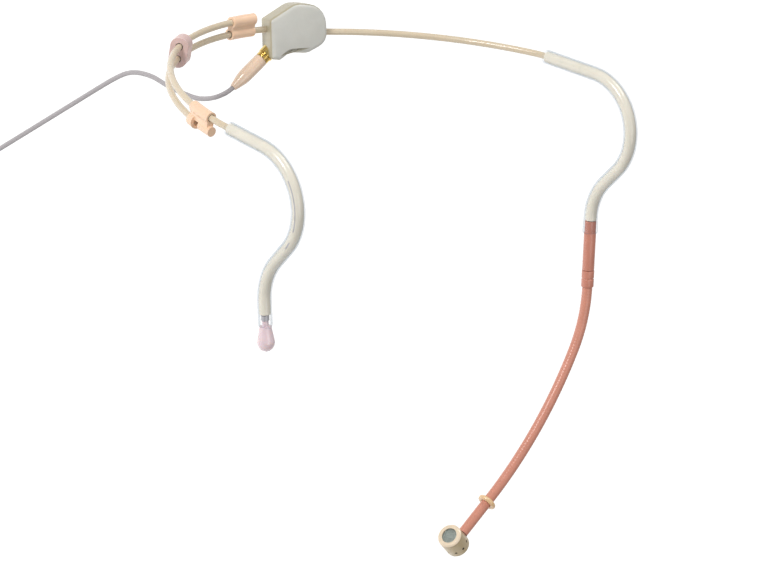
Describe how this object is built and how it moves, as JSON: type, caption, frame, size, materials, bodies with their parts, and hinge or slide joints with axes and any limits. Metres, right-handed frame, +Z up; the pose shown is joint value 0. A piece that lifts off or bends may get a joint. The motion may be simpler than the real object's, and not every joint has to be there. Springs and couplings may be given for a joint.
{
  "type": "headset microphone",
  "caption": "Ear-hung headset microphone with an adjustable wire neckband, clear ear tubes, a swivelling boom and a pull-off cable ending in a locking jack.",
  "frame": {"origin": "half way between the wearer's ear canals, level with them: the point the worn headset is held about", "axes": "+Z up as worn, -Y the way the wearer looks, +X towards the wearer's left ear"},
  "size_m": [0.1497, 0.1971, 0.307],
  "materials": {
    "front_shell": "fine satin, light warm grey",
    "rear_shell": "satin, warm cream",
    "fastener_steel": "small turned steel parts",
    "board_green": "coated board",
    "contact_gold": "gold plated, polished",
    "wire_cream": "smooth extruded jacket",
    "spring_steel": "drawn spring wire",
    "lead_tan": "thin lead",
    "clip_peach": "moulded, soft gloss",
    "slider_rose": "moulded, satin",
    "clear_silicone": "clear soft silicone tube",
    "cap_rose": "soft gloss",
    "sleeve_rose": "satin",
    "black_rubber": "soft",
    "boom_salmon": "satin, faint coil pitch under the skin",
    "former_metal": "annealed, bends and stays",
    "ring_cream": "soft, rounded",
    "capsule_cream": "satin",
    "bezel_cream": "bevelled rim",
    "mesh_steel": "woven wire",
    "cartridge_can": "drawn can",
    "plug_peach": "soft gloss",
    "insulator_black": "moulded",
    "cable_lilac": "matt cable sheath",
    "tie_dark": "hook and loop strap",
    "boot_dark": "strain relief",
    "jack_dark_metal": "satin black",
    "lock_ring_metal": "knurled",
    "jack_nickel": "nickel plated"
  },
  "bodies": {
    "band": {"housing_front": "front_shell", "housing_rear": "rear_shell", "housing_screws": "fastener_steel", "circuit_board": "board_green", "wire_clamp": "fastener_steel", "cable_socket": "contact_gold", "socket_contacts": "contact_gold", "band_jacket": "wire_cream", "band_spring": "spring_steel", "mic_lead_band": "lead_tan", "rail_jacket": "wire_cream", "rail_spring": "spring_steel", "lower_clip": "clip_peach", "left_ear_tube": "clear_silicone", "boom_sleeve": "sleeve_rose"},
    "right_arm": {"arm_jacket": "wire_cream", "arm_spring": "spring_steel", "upper_clip": "clip_peach", "right_ear_tube": "clear_silicone", "end_cap": "cap_rose"},
    "slider": {"slider": "slider_rose"},
    "boom": {"boom_collar": "sleeve_rose", "swivel_seal": "black_rubber", "boom_tube": "boom_salmon", "boom_former": "former_metal", "mic_lead_boom": "lead_tan", "capsule_body": "capsule_cream", "capsule_bezel": "bezel_cream", "mesh_grille": "mesh_steel", "mic_cartridge": "cartridge_can", "cartridge_gasket": "black_rubber"},
    "drip_ring": {"drip_ring": "ring_cream"},
    "cable": {"plug_shell": "plug_peach", "plug_collar": "contact_gold", "plug_insert": "insulator_black", "plug_pins": "contact_gold", "cord": "cable_lilac", "cord_coil": "cable_lilac", "cord_tail": "cable_lilac", "coil_tie": "tie_dark", "jack_boot": "boot_dark", "jack_shell": "jack_dark_metal", "jack_sleeve": "jack_nickel", "jack_ring": "jack_nickel", "jack_tip": "jack_nickel", "jack_insulators": "insulator_black"},
    "lock_ring": {"lock_ring": "lock_ring_metal"}
  },
  "joints": [
    {"name": "band_adjust", "type": "hinge", "parent": "band", "child": "right_arm", "pos_m": [-0.004, 0.023, 0.0015], "axis": [0, 0.7431, 0.6691], "range_deg": [-2, 16]},
    {"name": "slider_travel", "type": "hinge", "parent": "band", "child": "slider", "pos_m": [-0.004, 0.023, 0.0015], "axis": [0, 0.7431, 0.6691], "range_deg": [-7, 40]},
    {"name": "boom_swivel", "type": "hinge", "parent": "band", "child": "boom", "pos_m": [0.07285, -0.04166, -0.01819], "axis": [0.002, -0.8391, -0.544], "range_deg": [-50, 50]},
    {"name": "drip_ring_slide", "type": "slide", "parent": "boom", "child": "drip_ring", "axis": [-0.7756, -0.5207, -0.3568], "range_m": [0, 0.01]},
    {"name": "plug_pull", "type": "slide", "parent": "band", "child": "cable", "axis": [-0.7553, -0.4428, -0.4831], "range_m": [0, 0.009]},
    {"name": "lock_ring_turn", "type": "hinge", "parent": "cable", "child": "lock_ring", "pos_m": [-0.0025, 0.072, -0.24], "axis": [0, 0, -1], "continuous": true}
  ]
}
